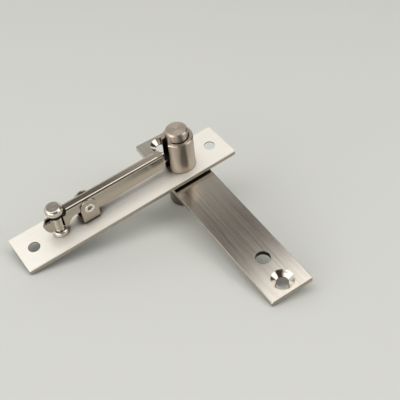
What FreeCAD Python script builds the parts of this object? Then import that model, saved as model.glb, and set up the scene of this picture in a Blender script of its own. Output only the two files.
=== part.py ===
"""Concealed pivot hinge for a door head: a frame plate with a retractable pivot pin, and a door plate.

The pin slides in a slotted housing on the frame plate. A folded channel lever rocks on a hollow rivet:
its tongue carries the pin, and its forked end is held on the neck of an adjusting screw. Turning the
screw from the underside lowers the pin into the door plate's socket or draws it out.

Millimetres, +Z up. The pieces are drawn about the pivot axis, with z = 0 on the frame plate's top face,
and are moved at the end so that the origin lies midway between the frame plate's two screw holes.
"""
import FreeCAD
import Part
import math
import os

# Plates
plate_thickness = 3.0
plate_width = 25.0
plate_edge_break = 0.3
frame_plate_length = 130.0
frame_pivot_from_end = 29.0
frame_hole_from_end = 9.0
frame_corner_radius = 1.0
door_plate_length = frame_plate_length
door_pivot_from_end = 30.0
door_hole_from_end = 8.0
door_tail_corner_radius = 1.0
door_front_corner_radius = 0.6
door_plate_angle = -92.5
plate_gap = 1.3
screw_hole_radius = 3.2
countersink_radius = 6.0
countersink_depth = 2.4
access_hole_radius = 4.0

# Pivot pin, housing and socket: the tube's radius sets the bush, the bore and the pin inside it
tube_radius = 8.5
tube_length = 21.0
tube_edge_break = 0.5
tube_wall = 1.5
bush_wall = 0.95
running_clearance = 0.05
bush_radius = tube_radius - tube_wall
bore_radius = bush_radius - bush_wall
pin_radius = bore_radius - running_clearance
pin_top = 26.3
pin_bottom = -8.6
pin_top_chamfer = 0.8
pin_bottom_chamfer = 1.2
centre_mark_radius = 0.6
bore_mouth_chamfer = 0.5
mouth_recess = 0.45
mouth_recess_depth = 1.6
housing_shoulder = 1.1
slot_width = 5.8
socket_shoulder = 0.5
bush_length = 18.0
bush_flange_overhang = 1.0
bush_running_gap = 0.1

# Lever, folded from sheet
sheet = 1.0
lever_width = 6.0
lever_top = 16.0
bend_radius = 1.7
fulcrum_from_screw = 17.1
fulcrum_height = 10.0
lever_end = 12.0
flange_low_at_pin = 6.4
flange_low_at_fulcrum = 4.9
flange_low_at_notch = 9.4
notch_run = 4.2
web_end_from_screw = 5.5
tongue_width = 4.8
tongue_bend_radius = 1.5
tongue_tip_radius = 1.2
window_height = 3.0
window_side_clearance = 0.3
pin_slot_height = 11.0
pin_slot_depth = 5.0

# Fork at the lever's screw end
screw_from_plate_end = 24.9
fork_top = 13.0
fork_bottom = 5.2
fork_shell_radius = 3.1
fork_slot = 1.8
fork_jog_from_screw = 2.6
wing_top = 12.6
wing_step_from_screw = 3.4
wing_reach = 8.5
rear_wing_reach = 5.7
wing_nose_low = 8.4
wing_nose_slant = 1.0
wing_chamfer_from_screw = 5.6
wing_corner_radius = 1.0
notch_corner_radius = 2.4

# Fulcrum bracket and its hollow rivet
bracket_side_clearance = 0.1
bracket_bend_radius = 1.5
ear_top_radius = 4.6
ear_foot_half_length = 5.0
ear_top = 15.8
rivet_radius = 2.0
rivet_bore_radius = 1.35
rivet_head_radius = 2.75
rivet_head_height = 0.6
rivet_brim_height = 0.2

# Adjusting screw, its washer and its threaded bush
thread_radius = 2.5
screw_bottom = -1.35
shoulder_height = 4.6
neck_radius = 1.5
washer_radius = 4.4
washer_thickness = 0.8
washer_gap = 2.7
head_gap = 0.05
head_under_radius = 4.2
head_radius = 4.75
head_flat_radius = 3.3
head_height = 3.6
head_rim_height = 1.1
hex_socket_across_flats = 2.5
hex_socket_depth = 2.0
bush_collar_radius = 4.1
bush_collar_height = 2.9
bush_collar_round = 1.4
threaded_bush_spigot_radius = 3.3

# Places that follow from the sizes above
through = 1.0
door_top = -plate_thickness - plate_gap
door_bottom = door_top - plate_thickness
frame_hole_spacing = frame_plate_length - 2 * frame_hole_from_end
pivot_x = frame_hole_spacing / 2 - (frame_pivot_from_end - frame_hole_from_end)
housing_spigot_radius = tube_radius - housing_shoulder
socket_spigot_radius = tube_radius - socket_shoulder
bush_flange_radius = tube_radius + bush_flange_overhang
screw_distance = frame_plate_length - frame_pivot_from_end - screw_from_plate_end
screw_x = -screw_distance
fulcrum_x = screw_x + fulcrum_from_screw
half_lever = lever_width / 2
ear_inside = half_lever + bracket_side_clearance
ear_outside = ear_inside + sheet
washer_bottom = fork_top + washer_gap
head_bottom = washer_bottom + washer_thickness + head_gap
UP = FreeCAD.Vector(0, 0, 1)
ALONG_Y = FreeCAD.Vector(0, 1, 0)


def box(low, high):
    """Box between two opposite corners."""
    size = [b - a for a, b in zip(low, high)]
    return Part.makeBox(*size, FreeCAD.Vector(*low))


def cylinder(radius, z_low, z_high, x=0.0):
    """Upright cylinder on the plates' centre line."""
    return Part.makeCylinder(radius, z_high - z_low, FreeCAD.Vector(x, 0, z_low))


def turned(profile):
    """Solid of revolution about Z from an (r, z) outline; an entry of two points is an arc to the second."""
    edges = []
    start = profile[0]
    for step in profile[1:] + profile[:1]:
        middle, end = step if isinstance(step[0], tuple) else (None, step)
        a = FreeCAD.Vector(start[0], 0, start[1])
        b = FreeCAD.Vector(end[0], 0, end[1])
        if middle:
            edges.append(Part.Arc(a, FreeCAD.Vector(middle[0], 0, middle[1]), b).toShape())
        else:
            edges.append(Part.LineSegment(a, b).toShape())
        start = end
    return Part.Face(Part.Wire(edges)).revolve(FreeCAD.Vector(0, 0, 0), UP, 360)


def side_outline(points, half_width):
    """Prism across the lever: an (x, z) outline carried from -half_width to +half_width."""
    corners = [FreeCAD.Vector(x, -half_width, z) for x, z in points]
    return Part.Face(Part.makePolygon(corners + corners[:1])).extrude(FreeCAD.Vector(0, 2 * half_width, 0))


def edges_across(solid, places):
    """Edges parallel to Y that pass through the given (x, z) places."""
    found = []
    for edge in solid.Edges:
        a, b = (v.Point for v in edge.Vertexes[:2])
        level = abs(a.x - b.x) < 1e-6 and abs(a.z - b.z) < 1e-6
        if level and any(math.hypot(a.x - x, a.z - z) < 1e-4 for x, z in places):
            found.append(edge)
    return found


def edges_along(solid, places):
    """Edges parallel to X that pass through the given (y, z) places."""
    found = []
    for edge in solid.Edges:
        a, b = (v.Point for v in edge.Vertexes[:2])
        level = abs(a.y - b.y) < 1e-6 and abs(a.z - b.z) < 1e-6
        if level and any(math.hypot(a.y - y, a.z - z) < 1e-4 for y, z in places):
            found.append(edge)
    return found


def upright_edges(solid, x):
    """Upright edges at one end of a plate."""
    return [e for e in solid.Edges if all(abs(v.X - x) < 1e-6 for v in e.Vertexes)
            and abs(e.Vertexes[0].Z - e.Vertexes[1].Z) > 1e-6]


def plate(x_low, x_high, z_top, radius_low, radius_high):
    """Flat bar with rounded corners and broken edges, running along X."""
    half = plate_width / 2
    blank = box((x_low, -half, z_top - plate_thickness), (x_high, half, z_top))
    blank = blank.makeFillet(radius_low, upright_edges(blank, x_low))
    blank = blank.makeFillet(radius_high, upright_edges(blank, x_high))
    rims = [e for face in blank.Faces if abs(abs(face.normalAt(0, 0).z) - 1) < 1e-6 for e in face.Edges]
    return blank.makeChamfer(plate_edge_break, rims)


def countersunk_hole(x, mouth_z, far_z):
    """Cutter for a countersunk screw hole that opens at mouth_z and runs on past far_z."""
    way = math.copysign(1, far_z - mouth_z)
    axis = FreeCAD.Vector(0, 0, way)
    mouth = FreeCAD.Vector(x, 0, mouth_z)
    drill = Part.makeCylinder(screw_hole_radius, abs(far_z - mouth_z) + through, mouth, axis)
    cone = Part.makeCone(countersink_radius, screw_hole_radius, countersink_depth, mouth, axis)
    return drill.fuse(cone)


def frame_plate():
    """Long plate let into the door head, countersunk from below, bored for the housing and the bush."""
    x_low = frame_pivot_from_end - frame_plate_length
    x_high = frame_pivot_from_end
    blank = plate(x_low, x_high, 0.0, frame_corner_radius, frame_corner_radius)
    cutters = [
        cylinder(housing_spigot_radius, -plate_thickness - through, through),
        cylinder(threaded_bush_spigot_radius, -plate_thickness - through, through, screw_x),
    ]
    for x in (x_low + frame_hole_from_end, x_high - frame_hole_from_end):
        cutters.append(countersunk_hole(x, -plate_thickness, 0.0))
    return blank.cut(cutters)


def pin_housing():
    """Turned tube that guides the pin: slotted for the lever, recessed at its mouth, spigoted into the plate."""
    mouth = bore_radius + mouth_recess
    tube = turned([
        (bore_radius, -plate_thickness),
        (housing_spigot_radius, -plate_thickness),
        (housing_spigot_radius, 0.0),
        (tube_radius, 0.0),
        (tube_radius, tube_length - tube_edge_break),
        (tube_radius - tube_edge_break, tube_length),
        (mouth, tube_length),
        (mouth, tube_length - mouth_recess_depth),
        (bore_radius, tube_length - mouth_recess_depth),
    ])
    slot = box((-tube_radius - through, -slot_width / 2, 0.0), (0.0, slot_width / 2, tube_length + through))
    return tube.cut(slot)


def pivot_pin():
    """Turned pin with a chamfered head, a centre mark, and a slot and window for the lever's tongue."""
    pin = turned([
        (0.0, pin_bottom),
        (pin_radius - pin_bottom_chamfer, pin_bottom),
        (pin_radius, pin_bottom + pin_bottom_chamfer),
        (pin_radius, pin_top - pin_top_chamfer),
        (pin_radius - pin_top_chamfer, pin_top),
        (centre_mark_radius, pin_top),
        (0.0, pin_top - centre_mark_radius),
    ])
    half_width = tongue_width / 2 + window_side_clearance
    half_height = window_height / 2
    reach = pin_radius + through
    window_low = (-reach, -half_width, fulcrum_height - half_height)
    window_high = (reach, half_width, fulcrum_height + half_height)
    window = box(window_low, window_high)
    half_slot = pin_slot_height / 2
    slot_low = (-reach, -half_width, fulcrum_height - half_slot)
    slot_high = (pin_slot_depth - pin_radius, half_width, fulcrum_height + half_slot)
    slot = box(slot_low, slot_high)
    return pin.cut([window, slot])


def lever_channel(x_low, x_high):
    """Inverted U of folded sheet with rounded upper edges."""
    low = min(flange_low_at_fulcrum, flange_low_at_pin, fork_bottom) - through
    skin = box((x_low, -half_lever, low), (x_high, half_lever, lever_top))
    folds = [(-half_lever, lever_top), (half_lever, lever_top)]
    skin = skin.makeFillet(bend_radius, edges_along(skin, folds))
    inside = half_lever - sheet
    hollow = box((x_low, -inside, low), (x_high, inside, lever_top - sheet))
    ridges = [(-inside, lever_top - sheet), (inside, lever_top - sheet)]
    hollow = hollow.makeFillet(max(bend_radius - sheet, sheet / 10), edges_along(hollow, ridges))
    return skin.cut(hollow)


def lever_fork():
    """Flanges drawn in, bulged round the screw's neck and carried on as two wings, the rear one cut back."""
    low = fork_bottom - through
    tip_x = screw_x - wing_reach
    half_gap = fork_slot / 2
    shell_bore = fork_shell_radius - sheet
    jog_x = screw_x + fork_jog_from_screw
    shell = cylinder(fork_shell_radius, low, fork_top + through, screw_x)
    jog = box((jog_x, -half_lever, low), (jog_x + sheet, half_lever, lever_top))
    wings = box((tip_x, -half_gap - sheet, low), (screw_x, half_gap + sheet, fork_top + through))
    slot = box((tip_x - through, -half_gap, low), (jog_x + 2 * sheet, half_gap, lever_top + through))
    neck_way = cylinder(shell_bore, low, lever_top + through, screw_x)
    slant = (wing_reach - wing_nose_slant - rear_wing_reach) / (wing_top - wing_nose_low)
    rear_top = (screw_x - rear_wing_reach + slant * (lever_top - wing_top), lever_top)
    rear_low = (screw_x - rear_wing_reach - slant * (wing_top - low), low)
    beyond_x = tip_x - through
    rear_nose = side_outline([rear_top, rear_low, (beyond_x, low), (beyond_x, lever_top)], half_lever)
    rear_nose.translate(FreeCAD.Vector(0, half_lever, 0))
    return shell.fuse([jog, wings]).cut([slot, neck_way, rear_nose])


def lever_tongue():
    """End of the web turned down and out again, with a rolled tip on the pivot axis."""
    web_middle = lever_top - sheet / 2
    turn_x = sheet / 2 - lever_end
    r = tongue_bend_radius
    dip = r * (1 - math.sqrt(0.5))
    y = -tongue_width / 2
    start = FreeCAD.Vector(turn_x - 2 * r, y, web_middle)
    bend_1 = FreeCAD.Vector(turn_x - r, y, web_middle)
    bend_1_middle = FreeCAD.Vector(turn_x - dip, y, web_middle - dip)
    bend_1_end = FreeCAD.Vector(turn_x, y, web_middle - r)
    bend_2 = FreeCAD.Vector(turn_x, y, fulcrum_height + r)
    bend_2_middle = FreeCAD.Vector(turn_x + dip, y, fulcrum_height + dip)
    bend_2_end = FreeCAD.Vector(turn_x + r, y, fulcrum_height)
    tip = FreeCAD.Vector(0, y, fulcrum_height)
    path = Part.Wire([
        Part.LineSegment(start, bend_1).toShape(),
        Part.Arc(bend_1, bend_1_middle, bend_1_end).toShape(),
        Part.LineSegment(bend_1_end, bend_2).toShape(),
        Part.Arc(bend_2, bend_2_middle, bend_2_end).toShape(),
        Part.LineSegment(bend_2_end, tip).toShape(),
    ])
    across = FreeCAD.Vector(0, tongue_width, 0)
    strip = Part.Face(path.makeOffset2D(sheet / 2)).extrude(across)
    roll = Part.makeCylinder(tongue_tip_radius, tongue_width, tip, ALONG_Y)
    return strip.fuse(roll)


def lever():
    """Folded channel lever: fork on the screw, hole for the rivet, tongue into the pin."""
    tip_x = screw_x - wing_reach
    web_end_x = screw_x + web_end_from_screw
    jog_x = screw_x + fork_jog_from_screw
    notch_foot = jog_x + sheet
    step = lever_top - fork_top
    nose_top = (tip_x, wing_top)
    nose_low = (tip_x + wing_nose_slant, wing_nose_low)
    notch_inner = (notch_foot + notch_run, flange_low_at_notch)
    outline = side_outline([
        (-lever_end, lever_top),
        (web_end_x, lever_top),
        (web_end_x - step / 2, fork_top),
        (screw_x - wing_step_from_screw, fork_top),
        (screw_x - wing_step_from_screw - fork_top + wing_top, wing_top),
        nose_top,
        nose_low,
        (screw_x - wing_chamfer_from_screw, fork_bottom),
        (notch_foot, fork_bottom),
        notch_inner,
        (fulcrum_x - ear_top_radius, flange_low_at_notch),
        (fulcrum_x - rivet_radius, flange_low_at_fulcrum),
        (-lever_end, flange_low_at_pin),
    ], fork_shell_radius + through)
    outline = outline.makeFillet(wing_corner_radius, edges_across(outline, [nose_top, nose_low]))
    outline = outline.makeFillet(notch_corner_radius, edges_across(outline, [notch_inner]))
    body = lever_channel(jog_x, -lever_end).fuse(lever_fork()).common(outline)
    hole_start = FreeCAD.Vector(fulcrum_x, -lever_width, fulcrum_height)
    hole = Part.makeCylinder(rivet_radius + running_clearance, 2 * lever_width, hole_start, ALONG_Y)
    return body.cut(hole).fuse(lever_tongue()).removeSplitter()


def fulcrum_bracket():
    """U of folded sheet standing on the frame plate, with two round-topped ears for the rivet."""
    half_length = max(ear_foot_half_length, ear_top_radius) + through
    low = (fulcrum_x - half_length, -ear_outside, 0.0)
    skin = box(low, (fulcrum_x + half_length, ear_outside, ear_top))
    folds = [(-ear_outside, 0.0), (ear_outside, 0.0)]
    skin = skin.makeFillet(bracket_bend_radius, edges_along(skin, folds))
    hollow = box((low[0], -ear_inside, sheet), (fulcrum_x + half_length, ear_inside, ear_top + through))
    shoulder = ear_top - ear_top_radius
    across = ear_outside + through
    cheeks = side_outline([
        (fulcrum_x - ear_foot_half_length, 0.0),
        (fulcrum_x + ear_foot_half_length, 0.0),
        (fulcrum_x + ear_top_radius, shoulder),
        (fulcrum_x - ear_top_radius, shoulder),
    ], across)
    crown_start = FreeCAD.Vector(fulcrum_x, -across, shoulder)
    crown = Part.makeCylinder(ear_top_radius, 2 * across, crown_start, ALONG_Y)
    hole_start = FreeCAD.Vector(fulcrum_x, -across, fulcrum_height)
    hole = Part.makeCylinder(rivet_radius, 2 * across, hole_start, ALONG_Y)
    return skin.cut(hollow).common(cheeks.fuse(crown)).cut(hole).removeSplitter()


def fulcrum_rivet():
    """Hollow rivet across the ears, its two ends rolled over into round lips."""
    seat = ear_outside
    brim = seat + rivet_brim_height
    end = seat + rivet_head_height
    crest = (rivet_head_radius + rivet_bore_radius) / 2
    half_lip = (rivet_head_radius - rivet_bore_radius) / 2
    bow = math.sqrt(0.5)
    outer = crest + half_lip * bow
    outer_z = brim + (end - brim) * bow
    inner = crest - half_lip * bow
    inner_z = seat + (end - seat) * bow
    rivet = turned([
        (rivet_bore_radius, -seat),
        ((inner, -inner_z), (crest, -end)),
        ((outer, -outer_z), (rivet_head_radius, -brim)),
        (rivet_head_radius, -seat),
        (rivet_radius, -seat),
        (rivet_radius, seat),
        (rivet_head_radius, seat),
        (rivet_head_radius, brim),
        ((outer, outer_z), (crest, end)),
        ((inner, inner_z), (rivet_bore_radius, seat)),
    ])
    rivet.rotate(FreeCAD.Vector(0, 0, 0), FreeCAD.Vector(1, 0, 0), -90)
    rivet.translate(FreeCAD.Vector(fulcrum_x, 0, fulcrum_height))
    return rivet


def threaded_bush():
    """Turned collar pressed into the frame plate, tapped for the adjusting screw."""
    r = bush_collar_radius
    z = bush_collar_height
    curve = bush_collar_round
    dip = curve * (1 - math.sqrt(0.5))
    bore = thread_radius + running_clearance
    bush = turned([
        (bore, -plate_thickness),
        (threaded_bush_spigot_radius, -plate_thickness),
        (threaded_bush_spigot_radius, 0.0),
        (r, 0.0),
        (r, z - curve),
        ((r - dip, z - dip), (r - curve, z)),
        (bore, z),
    ])
    bush.translate(FreeCAD.Vector(screw_x, 0, 0))
    return bush


def adjusting_screw():
    """Turned screw: hexagon socket below, thread up to the fork, neck through it and a mushroom head."""
    top = head_bottom + head_height
    rim = head_bottom + head_rim_height
    swell = head_radius - head_under_radius
    fall = head_radius - head_flat_radius
    rise = top - rim
    bow = math.sqrt(0.5)
    screw = turned([
        (0.0, screw_bottom),
        (thread_radius, screw_bottom),
        (thread_radius, shoulder_height),
        (neck_radius, shoulder_height),
        (neck_radius, head_bottom),
        (head_under_radius, head_bottom),
        ((head_under_radius + swell * bow, rim - head_rim_height * bow), (head_radius, rim)),
        ((head_flat_radius + fall * bow, rim + rise * bow), (head_flat_radius, top)),
        (0.0, top),
    ])
    corner_radius = hex_socket_across_flats / 2 / math.cos(math.pi / 6)
    corners = []
    for k in range(7):
        x = corner_radius * math.cos(k * math.pi / 3)
        y = corner_radius * math.sin(k * math.pi / 3)
        corners.append(FreeCAD.Vector(x, y, screw_bottom))
    socket = Part.Face(Part.makePolygon(corners)).extrude(FreeCAD.Vector(0, 0, hex_socket_depth))
    screw = screw.cut(socket)
    screw.translate(FreeCAD.Vector(screw_x, 0, 0))
    return screw


def screw_washer():
    """Plain washer under the screw's head, clear of the fork by the rise of the tilting lever."""
    washer = cylinder(washer_radius, washer_bottom, washer_bottom + washer_thickness, screw_x)
    hole = cylinder(neck_radius + running_clearance, washer_bottom - through, head_bottom, screw_x)
    return washer.cut(hole)


def door_plate():
    """Plate let into the top of the door, drawn along X and swung to the door's angle by the caller."""
    x_low = -door_pivot_from_end
    x_high = door_plate_length - door_pivot_from_end
    blank = plate(x_low, x_high, door_top, door_tail_corner_radius, door_front_corner_radius)
    cutters = [
        cylinder(socket_spigot_radius, door_bottom - through, door_top + through),
        cylinder(access_hole_radius, door_bottom - through, door_top + through, screw_distance),
    ]
    for x in (x_low + door_hole_from_end, x_high - door_hole_from_end):
        cutters.append(countersunk_hole(x, door_top, door_bottom))
    return blank.cut(cutters)


def pin_socket():
    """Turned tube under the door plate, with a spigot pressed through the plate."""
    low = door_bottom - tube_length
    return turned([
        (bush_radius, low),
        (tube_radius - tube_edge_break, low),
        (tube_radius, low + tube_edge_break),
        (tube_radius, door_bottom),
        (socket_spigot_radius, door_bottom),
        (socket_spigot_radius, door_top),
        (bush_radius, door_top),
    ])


def bearing_bush():
    """Flanged bush in the socket; its flange keeps the two plates apart."""
    flange_top = -plate_thickness - bush_running_gap
    mouth = bore_radius + bore_mouth_chamfer
    return turned([
        (bore_radius, door_top - bush_length),
        (bush_radius, door_top - bush_length),
        (bush_radius, door_top),
        (bush_flange_radius, door_top),
        (bush_flange_radius, flange_top),
        (mouth, flange_top),
        (bore_radius, flange_top - bore_mouth_chamfer),
    ])


def swung(solid):
    """Turn a piece of the door leaf to the door's angle at rest."""
    return solid.rotated(FreeCAD.Vector(0, 0, 0), UP, door_plate_angle)


pieces = {
    "frame_plate": frame_plate(),
    "pin_housing": pin_housing(),
    "pivot_pin": pivot_pin(),
    "lever": lever(),
    "fulcrum_bracket": fulcrum_bracket(),
    "fulcrum_rivet": fulcrum_rivet(),
    "threaded_bush": threaded_bush(),
    "adjusting_screw": adjusting_screw(),
    "screw_washer": screw_washer(),
    "door_plate": swung(door_plate()),
    "pin_socket": swung(pin_socket()),
    "bearing_bush": swung(bearing_bush()),
}

os.makedirs("parts", exist_ok=True)
for name, solid in pieces.items():
    solid.translate(FreeCAD.Vector(pivot_x, 0, 0))
    solid.exportStep(f"parts/{name}.step")
    print(name, len(solid.Solids), "solid", "valid" if solid.isValid() else "NOT VALID")
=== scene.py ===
"""Dresses the pivot hinge: brushed plates, turned pin and tubes, folded lever, fasteners and studio light.

Metres, in the row frame: +Z up along the pivot pin, +X along the frame plate from screw to pivot.
"""
import math

import bpy
import numpy as np
from mathutils import Matrix, Vector


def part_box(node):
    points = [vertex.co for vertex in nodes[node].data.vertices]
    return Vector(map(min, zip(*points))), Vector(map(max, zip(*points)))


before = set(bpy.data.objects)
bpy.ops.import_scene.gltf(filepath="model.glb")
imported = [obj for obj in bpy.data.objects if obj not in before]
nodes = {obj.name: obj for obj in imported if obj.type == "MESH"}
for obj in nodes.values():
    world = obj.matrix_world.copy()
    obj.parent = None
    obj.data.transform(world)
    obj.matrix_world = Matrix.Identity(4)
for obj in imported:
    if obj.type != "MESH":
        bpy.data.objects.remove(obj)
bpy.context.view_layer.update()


# Frame plate and door plate
# Two lengths of stainless flat bar, 25 by 3 mm, belt-brushed along their length, drilled and countersunk.
# The frame plate is screwed up into the door head and the door plate down into the top of the door.

mm = 0.001
colour_a, colour_b, mixed = 6, 7, 2     # a Mix node's colour sockets, by number because their names repeat


def linear(hex_colour):
    """An sRGB hex colour as linear red, green, blue and alpha."""
    srgb = [int(hex_colour[i:i + 2], 16) / 255 for i in (1, 3, 5)]
    return [c / 12.92 if c <= 0.04045 else ((c + 0.055) / 1.055) ** 2.4 for c in srgb] + [1.0]


def add(tree, kind, settings=()):
    """Adds a node. Its settings, by property or by input name or number, are values or sockets to link."""
    node = tree.nodes.new(kind)
    for key, value in dict(settings).items():
        if isinstance(value, bpy.types.NodeSocket):
            tree.links.new(value, node.inputs[key])
        elif isinstance(key, int) or key in node.inputs:
            node.inputs[key].default_value = value
        else:
            setattr(node, key, value)
    return node


def new_material(name):
    """An empty material, returned with its node tree."""
    material = bpy.data.materials.new(name)
    material.use_nodes = True
    material.node_tree.nodes.clear()
    return material, material.node_tree


def marked(tree, grain, light, dark, smooth, rough, relief):
    """Colour, roughness and normal that follow one grain: light, rough and raised where it is high."""
    colour = add(tree, "ShaderNodeMix",
                 {"data_type": "RGBA", "Factor": grain, colour_a: dark, colour_b: light})
    gloss = add(tree, "ShaderNodeMapRange", {"Value": grain, "To Min": smooth, "To Max": rough})
    bump = add(tree, "ShaderNodeBump", {**relief, "Height": grain})
    return colour.outputs[mixed], gloss.outputs["Result"], bump.outputs["Normal"]


# Painted shade: a dark brown mixed into colours where surfaces are shut in, standing in for crevice shade.
crevice_shade_colour = linear("#43382a")
shut_in = 0.38                  # the share of open space at which the painted shade is full
open_air = 0.62                 # and the share at which it is gone


def shade_darkened(tree, colour, reach):
    """A colour darkened to painted shade where the surface has little open space within reach."""
    space = add(tree, "ShaderNodeAmbientOcclusion", {"samples": 16, "Distance": reach})
    unshaded = add(tree, "ShaderNodeMapRange",
                {"Value": space.outputs["AO"], "From Min": shut_in, "From Max": open_air})
    mix = add(tree, "ShaderNodeMix",
              {"data_type": "RGBA", "Factor": unshaded.outputs["Result"],
               colour_a: crevice_shade_colour, colour_b: colour})
    return mix.outputs[mixed]


def dress(material, *names):
    """Gives CAD nodes one material, in their own material slot."""
    for name in names:
        nodes[name].data.materials.clear()
        nodes[name].data.materials.append(material)


door_angle = math.radians(-92.5)        # how far the door plate is turned from X at rest
# The frame plate's steel is painted paler than the door plate's same steel, as painted light.
frame_steel_painted_lit = linear("#f8f5ee")
frame_steel_painted_lit_worn = linear("#e9e4db")
# The door plate's steel is painted darker than the frame plate's same steel, as painted shade.
door_steel_painted_shaded = linear("#ddd7cd")
door_steel_painted_shaded_worn = linear("#afa89d")
belt_line_width = 1.2 * mm      # the belt's widest bands, with finer lines down to 0.04 mm in them
belt_line_length = 45 * mm      # how far one scratch of the belt runs
belt_gloss = 0.15               # the share by which the lines vary the roughness


def brushed_bar(name, angle, roughness, stretch, light, dark, crevice_reach):
    """Satin stainless bar brushed at an angle to X: its highlights stretch across the brush lines."""
    material, tree = new_material(name)
    place = add(tree, "ShaderNodeTexCoord")
    turned = add(tree, "ShaderNodeMapping",
                 {"vector_type": "TEXTURE", "Vector": place.outputs["Object"], "Rotation": (0, 0, angle)})
    lines = add(tree, "ShaderNodeMapping",
                {"Vector": turned.outputs["Vector"],
                 "Scale": (1 / belt_line_length, 1 / belt_line_width, 1 / belt_line_width)})
    grain = add(tree, "ShaderNodeTexNoise",
                {"Vector": lines.outputs["Vector"], "Scale": 1.0, "Detail": 5.0, "Roughness": 0.7})
    colour, gloss, normal = marked(tree, grain.outputs["Fac"], light, dark,
                                   (1 - belt_gloss) * roughness, (1 + belt_gloss) * roughness,
                                   {"Strength": 0.12, "Distance": 0.01 * mm})
    across = add(tree, "ShaderNodeVectorTransform",
                 {"vector_type": "VECTOR", "convert_from": "OBJECT", "convert_to": "WORLD",
                  "Vector": (-math.sin(angle), math.cos(angle), 0.0)})
    # The colour is darkened with painted shade where the bar is shut in, within crevice_reach.
    steel = add(tree, "ShaderNodeBsdfPrincipled",
                {"Metallic": 1.0, "Base Color": shade_darkened(tree, colour, crevice_reach), "Roughness": gloss,
                 "Anisotropic": stretch, "Tangent": across.outputs["Vector"], "Normal": normal})
    add(tree, "ShaderNodeOutputMaterial", {"Surface": steel.outputs["BSDF"]})
    return material


# A coarse belt leaves the frame plate satin. Its steel is painted paler than the door plate's as painted
# light, and painted shade dims it where the housing and the lever shut it in.
dress(brushed_bar("brushed stainless bar, frame", angle=0.0, roughness=0.6, stretch=0.3,
                  light=frame_steel_painted_lit, dark=frame_steel_painted_lit_worn, crevice_reach=20 * mm), "frame_plate")
# A fine belt leaves the door plate half a mirror, in which dark and light run together along faint streaks.
# Its steel is painted darker than the frame plate's, as painted shade.
dress(brushed_bar("brushed stainless bar, door", angle=door_angle, roughness=0.2, stretch=0.6,
                  light=door_steel_painted_shaded, dark=door_steel_painted_shaded_worn, crevice_reach=0.4 * mm), "door_plate")


# Screw holes and sawn edges
# Holes drilled through both plates and countersunk for the screws' heads, and edges where the bar was sawn.
# All sides of the frame plate are sawn, but only the ends of the door plate, whose long sides are brushed.

cutter_ring = 0.4 * mm          # the cutter's feed, drawn four times as coarse so that it shows
drill_ring = 0.5 * mm           # the drill's feed, drawn three times as coarse
saw_stroke = 0.8 * mm           # the saw teeth's spacing
slow_change = 4.0 * mm          # how far along a mark its depth changes


def tool_marked(name, marks, light, dark, smooth, rough):
    """Metal with marks of a given size along X, Y and Z, which vary its colour, gloss and relief."""
    material, tree = new_material(name)
    place = add(tree, "ShaderNodeTexCoord")
    spread = add(tree, "ShaderNodeMapping",
                 {"Vector": place.outputs["Object"], "Scale": [1 / size for size in marks]})
    grain = add(tree, "ShaderNodeTexNoise",
                {"Vector": spread.outputs["Vector"], "Scale": 1.0, "Detail": 3.0, "Roughness": 0.6})
    colour, gloss, normal = marked(tree, grain.outputs["Fac"], light, dark, smooth, rough,
                                   {"Strength": 0.06, "Distance": 0.01 * mm})
    steel = add(tree, "ShaderNodeBsdfPrincipled",
                {"Metallic": 1.0, "Base Color": colour, "Roughness": gloss, "Normal": normal})
    add(tree, "ShaderNodeOutputMaterial", {"Surface": steel.outputs["BSDF"]})
    return material


# A sharp cutter leaves a clear mirror broken by rings.
cone_finish = tool_marked("bright countersunk stainless", (slow_change, slow_change, cutter_ring),
                          light=linear("#e6dfd4"), dark=linear("#c9c2b7"), smooth=0.1, rough=0.22)
# A drill leaves a dull, ringed wall. Its nearly black colour is painted shade.
hole_shade_finish = tool_marked("drilled stainless with painted shade", (slow_change, slow_change, drill_ring),
                          light=linear("#52493f"), dark=linear("#362f28"), smooth=0.32, rough=0.48)
# A saw leaves upright strokes and a soft grey sheen.
sawn_finish = tool_marked("sawn stainless edge", (saw_stroke, saw_stroke, slow_change),
                          light=linear("#c8bfb0"), dark=linear("#a39a8c"), smooth=0.36, rough=0.54)


def faces(name):
    """The middles and the normals of a node's faces, one row each."""
    polygons = nodes[name].data.polygons
    middles = np.empty(3 * len(polygons))
    normals = np.empty(3 * len(polygons))
    polygons.foreach_get("center", middles)
    polygons.foreach_get("normal", normals)
    return middles.reshape(-1, 3), normals.reshape(-1, 3)


def finish_faces(name, material, chosen):
    """Adds a material slot to a node and gives it to the chosen faces."""
    mesh = nodes[name].data
    slots = np.empty(len(mesh.polygons), dtype=np.int32)
    mesh.polygons.foreach_get("material_index", slots)
    slots[chosen] = len(mesh.materials)
    mesh.materials.append(material)
    mesh.polygons.foreach_set("material_index", slots)


edge_margin = 1.0 * mm          # holes lie farther in than this, and edges do not
wall_rise = 0.2                 # the most that a wall's normal rises
flat_rise = 0.95                # the least that a flat face's normal rises, with cones between the two
for name, turn in (("frame_plate", 0.0), ("door_plate", door_angle)):
    middles, normals = faces(name)
    along = middles[:, 0] * math.cos(turn) + middles[:, 1] * math.sin(turn)
    across = middles[:, 1] * math.cos(turn) - middles[:, 0] * math.sin(turn)
    between_ends = (along > along.min() + edge_margin) & (along < along.max() - edge_margin)
    between_sides = (across > across.min() + edge_margin) & (across < across.max() - edge_margin)
    inside = between_ends & between_sides
    rise = np.abs(normals[:, 2])
    finish_faces(name, cone_finish, inside & (rise > wall_rise) & (rise < flat_rise))
    finish_faces(name, hole_shade_finish, inside & (rise <= wall_rise))
    sawn = ~inside if name == "frame_plate" else ~between_ends
    finish_faces(name, sawn_finish, sawn & (rise <= wall_rise))


# Pin housing, pin socket and pivot pin
# Three pieces of stainless round bar turned on a lathe. The housing's and the socket's spigots are pressed
# into the plates. The pin slides in the housing, in grease; the bore and the slots are darkened with painted
# shade.

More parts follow.
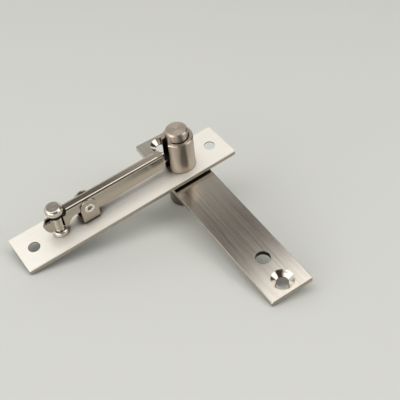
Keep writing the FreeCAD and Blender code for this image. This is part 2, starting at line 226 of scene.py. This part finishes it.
pivot_x = sum(v.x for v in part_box("pivot_pin")) / 2
turned_steel = linear("#c4b8ab")
turned_steel_dark = linear("#b2a699")
socket_shaded_steel = linear("#8f8273")
socket_shaded_steel_dark = linear("#786c5e")
ring_pitch = 0.18 * mm          # the tool's feed, drawn twice as coarse so that it shows
ring_gloss = 0.05               # how far the rings vary the roughness
turned_crevice = 2.5 * mm


def turned_bar(name, axis_x, roughness, stretch, light, dark):
    """Turned metal about an upright axis: rings by height plus radius, and highlights drawn across them."""
    material, tree = new_material(name)
    place = add(tree, "ShaderNodeTexCoord")
    centred = add(tree, "ShaderNodeMapping",
                  {"Vector": place.outputs["Object"], "Location": (-axis_x, 0, 0)})
    flat = add(tree, "ShaderNodeVectorMath",
               {"operation": "MULTIPLY", 0: centred.outputs["Vector"], 1: (1, 1, 0)})
    radius = add(tree, "ShaderNodeVectorMath", {"operation": "LENGTH", 0: flat.outputs["Vector"]})
    parts = add(tree, "ShaderNodeSeparateXYZ", {"Vector": centred.outputs["Vector"]})
    along = add(tree, "ShaderNodeMath",
                {"operation": "ADD", 0: radius.outputs["Value"], 1: parts.outputs["Z"]})
    rings = add(tree, "ShaderNodeTexNoise",
                {"noise_dimensions": "1D", "W": along.outputs["Value"], "Scale": 1 / ring_pitch,
                 "Detail": 2.0, "Roughness": 0.55})
    colour, gloss, normal = marked(tree, rings.outputs["Fac"], light, dark,
                                   roughness - ring_gloss, roughness + ring_gloss,
                                   {"Strength": 0.04, "Distance": 0.01 * mm})
    outwards = add(tree, "ShaderNodeVectorMath", {"operation": "NORMALIZE", 0: flat.outputs["Vector"]})
    slanted = add(tree, "ShaderNodeVectorMath",
                  {"operation": "ADD", 0: outwards.outputs["Vector"], 1: (0, 0, 1)})
    across = add(tree, "ShaderNodeVectorTransform",
                 {"vector_type": "VECTOR", "convert_from": "OBJECT", "convert_to": "WORLD",
                  "Vector": slanted.outputs["Vector"]})
    # The colour is darkened with painted shade within turned_crevice of anything that shuts it in.
    metal = add(tree, "ShaderNodeBsdfPrincipled",
                {"Metallic": 1.0, "Base Color": shade_darkened(tree, colour, turned_crevice), "Roughness": gloss,
                 "Anisotropic": stretch, "Tangent": across.outputs["Vector"], "Normal": normal})
    add(tree, "ShaderNodeOutputMaterial", {"Surface": metal.outputs["BSDF"]})
    return material


# Fresh turning gives soft highlights that run up the walls and fan out over the pin's end.
dress(turned_bar("turned stainless", pivot_x, roughness=0.3, stretch=0.7,
                 light=turned_steel, dark=turned_steel_dark), "pin_housing", "pivot_pin")
# The socket keeps the same highlights, and its steel is painted darker and browner as painted shade.
dress(turned_bar("oiled turned stainless", pivot_x, roughness=0.3, stretch=0.7,
                 light=socket_shaded_steel, dark=socket_shaded_steel_dark), "pin_socket")

shade_smear = 1.5 * mm         # the width of one smear
# The bore and the slots are duller, and painted shade darkens them in smears.
recess_shade_finish = tool_marked("stainless with painted recess shade", (shade_smear, shade_smear, shade_smear),
                             light=linear("#483f35"), dark=linear("#2e2822"), smooth=0.25, rough=0.45)
skin_depth = 0.3 * mm           # faces farther in than this lie in the bore or a slot
shaded_wall_rise = 0.5              # the most that a shaded wall's normal rises
# Painted shade: the faces in the bore and the slots get the dark finish.
for name in ("pin_housing", "pivot_pin"):
    middles, normals = faces(name)
    inner_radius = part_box(name)[1].x - pivot_x - skin_depth
    radius = np.hypot(middles[:, 0] - pivot_x, middles[:, 1])
    finish_faces(name, recess_shade_finish, (radius < inner_radius) & (np.abs(normals[:, 2]) < shaded_wall_rise))


# Lever and fulcrum bracket
# Blanks of 1 mm stainless sheet, stamped, folded into channels and tumbled until the edges are soft.
# The bracket is fixed to the frame plate by its base, and the lever rocks between its ears.

sheet_steel = linear("#c6beb2")
sheet_steel_dull = linear("#aba294")
tumble_mark = 0.6 * mm          # the dents that the tumbling stones leave
soft_edge = 0.16 * mm           # the radius to which they wear the edges
sheet_crevice = 3 * mm


def tumbled_sheet(name):
    """Folded sheet with a smooth tumbled skin: faint blotches, soft edges and a fairly clear reflection."""
    material, tree = new_material(name)
    place = add(tree, "ShaderNodeTexCoord")
    blotch = add(tree, "ShaderNodeTexNoise",
                 {"Vector": place.outputs["Object"], "Scale": 1 / tumble_mark,
                  "Detail": 4.0, "Roughness": 0.6})
    edge = add(tree, "ShaderNodeBevel", {"samples": 6, "Radius": soft_edge})
    colour, gloss, normal = marked(
        tree, blotch.outputs["Fac"], sheet_steel, sheet_steel_dull, smooth=0.12, rough=0.2,
        relief={"Strength": 0.08, "Distance": 0.02 * mm, "Normal": edge.outputs["Normal"]})
    # The colour is darkened with painted shade within sheet_crevice of anything that shuts it in.
    steel = add(tree, "ShaderNodeBsdfPrincipled",
                {"Metallic": 1.0, "Base Color": shade_darkened(tree, colour, sheet_crevice), "Roughness": gloss,
                 "Normal": normal})
    add(tree, "ShaderNodeOutputMaterial", {"Surface": steel.outputs["BSDF"]})
    return material


# Tumbling leaves a clear but slightly blotched mirror, with a thin light along each fold and edge, and
# painted shade in its crevices.
dress(tumbled_sheet("tumbled stainless sheet"), "lever", "fulcrum_bracket")

# Painted shade darkens the lever's tongue, its fork's root and the inside of its channel.
tongue_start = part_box("pin_housing")[0].x
screw_x = sum(v.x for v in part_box("adjusting_screw")) / 2
fork_root_start = screw_x + 2.5 * mm
fork_root_end = screw_x + 5.8 * mm
towards_screw = -0.6            # the root's faces have normals with less than this along X
channel_inside = 0.5 * mm       # the channel's inner faces look at its middle from farther than this
middles, normals = faces("lever")
beside_root = (middles[:, 0] > fork_root_start) & (middles[:, 0] < fork_root_end)
fork_root = beside_root & (normals[:, 0] < towards_screw)
facing_in = middles[:, 1] * normals[:, 1] < -channel_inside
finish_faces("lever", recess_shade_finish, fork_root | facing_in | (middles[:, 0] > tongue_start))


# Fulcrum rivet, washer, threaded bush and adjusting screw
# Small stainless fasteners. The hollow rivet is rolled over in the bracket's ears, and the bush is pressed
# into the plate and tapped for the screw. The lever's fork takes the screw's neck, below a washer darkened
# with painted shade.

polished_steel = linear("#d8d1c7")
polished_steel_dark = linear("#ccc4b9")
rolling_mark = 1.5 * mm         # the steps in which the brim was rolled over
# Barrel polishing gives the screw's head and the bush's collar sharp, small highlights.
dress(turned_bar("polished turned stainless", screw_x, roughness=0.22, stretch=0.3,
                 light=polished_steel, dark=polished_steel_dark), "threaded_bush", "adjusting_screw")
# Rolling over leaves the rivet's brim bright and a little rough.
dress(tool_marked("rolled stainless rivet", (rolling_mark, rolling_mark, rolling_mark),
                  light=linear("#f6f1e8"), dark=linear("#e2dcd1"), smooth=0.42, rough=0.55), "fulcrum_rivet")
# The washer is painted dark as painted shade under the screw's head.
dress(recess_shade_finish, "screw_washer")


# Bearing bush
# A flanged sleeve of bearing bronze pressed into the socket, bored to run on the pin.
# It shows as a thin yellow-brown line between the plates and from below.

bush_bronze = linear("#b99a63")
bush_bronze_dark = linear("#9c7d4a")
# Turned bronze has a warm, soft shine.
dress(turned_bar("turned bearing bronze", pivot_x, roughness=0.34, stretch=0.5,
                 light=bush_bronze, dark=bush_bronze_dark), "bearing_bush")


# Floor
# A plain sheet of pale paper. The hinge leans on it at the free ends of both plates and at the socket's rim.
# The paper is clear from below, so that it hides nothing in a low view.

pivot = Vector((pivot_x, 0, 0))
socket_low, socket_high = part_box("pin_socket")
door_way = Vector((math.cos(door_angle), math.sin(door_angle), 0))
door_side = Vector((-door_way.y, door_way.x, 0))
door_points = np.array([v.co for v in nodes["door_plate"].data.vertices])
door_reach = float(((door_points - np.array(pivot)) @ np.array(door_way)).max())
plate_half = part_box("frame_plate")[1].y
frame_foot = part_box("frame_plate")[0]
door_foot = pivot + door_reach * door_way - plate_half * door_side
door_foot.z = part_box("door_plate")[0].z
towards_feet = (frame_foot + door_foot) / 2 - pivot
towards_feet.z = 0
rim_foot = pivot + (socket_high.x - socket_low.x) / 2 * towards_feet.normalized()
rim_foot.z = socket_low.z
floor_up = (door_foot - rim_foot).cross(rim_foot - frame_foot).normalized()
floor_up *= math.copysign(1, floor_up.z)

floor_half = 1.3
paper_colour = linear("#d3d4cf")
floor_x = floor_up.orthogonal().normalized()
floor_y = floor_up.cross(floor_x)
floor_corners = [rim_foot + floor_half * (a * floor_x + b * floor_y)
                 for a, b in ((-1, -1), (1, -1), (1, 1), (-1, 1))]
floor_mesh = bpy.data.meshes.new("floor")
floor_mesh.from_pydata(floor_corners, [], [(0, 1, 2, 3)])
floor = bpy.data.objects.new("floor", floor_mesh)
bpy.context.scene.collection.objects.link(floor)
# Matt paper shows soft shadows and no shine.
paper, paper_tree = new_material("pale paper")
paper_side = add(paper_tree, "ShaderNodeNewGeometry")
paper_skin = add(paper_tree, "ShaderNodeBsdfDiffuse", {"Color": paper_colour})
paper_clear = add(paper_tree, "ShaderNodeBsdfTransparent")
paper_both = add(paper_tree, "ShaderNodeMixShader",
                 {"Fac": paper_side.outputs["Backfacing"], 1: paper_skin.outputs["BSDF"],
                  2: paper_clear.outputs["BSDF"]})
add(paper_tree, "ShaderNodeOutputMaterial", {"Surface": paper_both.outputs["Shader"]})
floor_mesh.materials.append(paper)


# Studio light
# A pale sweep runs round the horizon, with a pale wall and ceiling above it behind the hinge and a dim warm
# room in front. Two softboxes hang overhead, and three stand at the left, at the right and low at the front.

camera_azimuth = math.radians(-31.373)
camera_elevation = math.radians(50.326)
back = Vector((math.sin(camera_azimuth) * math.cos(camera_elevation),
               -math.cos(camera_azimuth) * math.cos(camera_elevation), math.sin(camera_elevation)))
away = (floor_up * back.dot(floor_up) - back).normalized()
aside = away.cross(floor_up)
panel_turn = math.radians(35.0115)      # from the camera's right to the wall's edge
panel_along = math.cos(panel_turn) * aside + math.sin(panel_turn) * away
panel_across = floor_up.cross(panel_along)

# The wall's tones follow how far a direction leans past the wall's edge, as a slope from straight up.
lowest_height = 0.05                    # keeps the slopes finite at the horizon and below it
edge_bend_start, edge_bend_end = 0.03, 0.1
edge_left, edge_right = 0.6, 0.4        # the edge's place before its bend and after it
room_tone = linear("#3a322a")
# Each tone, with the slopes past the edge at which it starts and is full.
wall_tones = ((-0.03, 0.03, "#b3b1ad"), (0.1, 0.35, "#e2e2e0"), (1.2, 1.8, "#bdbdb9"))
sweep_tone = linear("#bbbcb8")          # the floor's colour over the room's strength
sweep_start, sweep_end = math.radians(12), math.radians(20)
room_strength = 1.3

world = bpy.data.worlds.new("studio")
world.use_nodes = True
studio = world.node_tree
studio.nodes.clear()
direction = add(studio, "ShaderNodeTexCoord").outputs["Generated"]
leans = []
for axis in (panel_along, panel_across, floor_up):
    lean = add(studio, "ShaderNodeVectorMath", {"operation": "DOT_PRODUCT", 0: direction, 1: axis})
    leans.append(lean.outputs["Value"])
lean_along, lean_across, lean_up = leans
height = add(studio, "ShaderNodeMath", {"operation": "MAXIMUM", 0: lean_up, 1: lowest_height})
slopes = []
for lean in (lean_along, lean_across):
    slope = add(studio, "ShaderNodeMath", {"operation": "DIVIDE", 0: lean, 1: height.outputs["Value"]})
    slopes.append(slope.outputs["Value"])
slope_along, slope_across = slopes
edge = add(studio, "ShaderNodeMapRange",
           {"interpolation_type": "SMOOTHSTEP", "Value": slope_along, "From Min": edge_bend_start,
            "From Max": edge_bend_end, "To Min": edge_left, "To Max": edge_right})
past = add(studio, "ShaderNodeMath", {"operation": "SUBTRACT", 0: slope_across, 1: edge.outputs["Result"]})
shade = room_tone
for tone_start, tone_full, tone in wall_tones:
    step = add(studio, "ShaderNodeMapRange",
               {"interpolation_type": "SMOOTHSTEP", "Value": past.outputs["Value"],
                "From Min": tone_start, "From Max": tone_full})
    mix = add(studio, "ShaderNodeMix",
              {"data_type": "RGBA", "Factor": step.outputs["Result"],
               colour_a: shade, colour_b: linear(tone)})
    shade = mix.outputs[mixed]
above_sweep = add(studio, "ShaderNodeMapRange",
                  {"interpolation_type": "SMOOTHSTEP", "Value": lean_up,
                   "From Min": math.sin(sweep_start), "From Max": math.sin(sweep_end)})
room = add(studio, "ShaderNodeMix",
           {"data_type": "RGBA", "Factor": above_sweep.outputs["Result"],
            colour_a: sweep_tone, colour_b: shade})
glow = add(studio, "ShaderNodeBackground", {"Color": room.outputs[mixed], "Strength": room_strength})
add(studio, "ShaderNodeOutputWorld", {"Surface": glow.outputs["Background"]})
bpy.context.scene.world = world


def softbox(name, radiance, place, towards, along, width, depth):
    """A softbox of an even radiance, with its width along one direction and its face looking another way."""
    data = bpy.data.lights.new(name, "AREA")
    data.shape = "RECTANGLE"
    data.size = width
    data.size_y = depth
    data.energy = radiance * math.pi * width * depth
    lamp = bpy.data.objects.new(name, data)
    across = along.cross(towards)
    lamp.matrix_world = (Matrix.Translation(rim_foot + place)
                         @ Matrix((along, across, -towards)).transposed().to_4x4())
    bpy.context.scene.collection.objects.link(lamp)


lamp_distance = 2.4
panel_near = -1.1
# Overhead: each softbox's left, right and far edges along the wall's lines, in metres, and its radiance.
for side, panel_left, panel_right, panel_far, radiance in (
        ("left", -1.5, -0.36, 0.96, 2.15), ("right", -0.36, 1.1, 0.555, 1.8)):
    middle_along = (panel_left + panel_right) / 2
    middle_across = (panel_near + panel_far) / 2
    softbox(side + " overhead softbox", radiance,
            lamp_distance * floor_up + middle_along * panel_along + middle_across * panel_across,
            -floor_up, panel_along, panel_right - panel_left, panel_far - panel_near)
# Standing: the angle from straight behind the hinge, the height as an angle, radiance, width and depth.
for side, azimuth, elevation, radiance, width, depth in (
        ("left", -116, 40, 1.55, 1.4, 1.9),
        ("right", 106, 40, 1.75, 1.4, 1.9),
        ("low", -150, 14, 3.3, 2.4, 0.8)):
    azimuth, elevation = math.radians(azimuth), math.radians(elevation)
    level_way = math.sin(azimuth) * aside + math.cos(azimuth) * away
    way = math.cos(elevation) * level_way + math.sin(elevation) * floor_up
    softbox(side + " softbox", radiance, lamp_distance * way, -way, floor_up.cross(level_way), width, depth)


# Camera
# It stands in front and to the left of the hinge, half-way up, and is tilted a little to the left. Its place
# and angles are fitted to the corners and holes of both plates in the photograph.

camera_roll = math.radians(-6.149)
camera_place = Vector((-95.87 * mm, -232.61 * mm, 287.76 * mm))
level = Vector((math.cos(camera_azimuth), math.sin(camera_azimuth), 0))
upright = back.cross(level)
right = math.cos(camera_roll) * level + math.sin(camera_roll) * upright
up = math.cos(camera_roll) * upright - math.sin(camera_roll) * level
camera_data = bpy.data.cameras.new("camera")
camera_data.sensor_width = 36.0
camera_data.lens = 63.49
camera_data.clip_start = 0.01
camera = bpy.data.objects.new("camera", camera_data)
camera.matrix_world = Matrix.Translation(camera_place) @ Matrix((right, up, back)).transposed().to_4x4()
bpy.context.scene.collection.objects.link(camera)
bpy.context.scene.camera = camera
bpy.context.scene.view_settings.view_transform = "Standard"
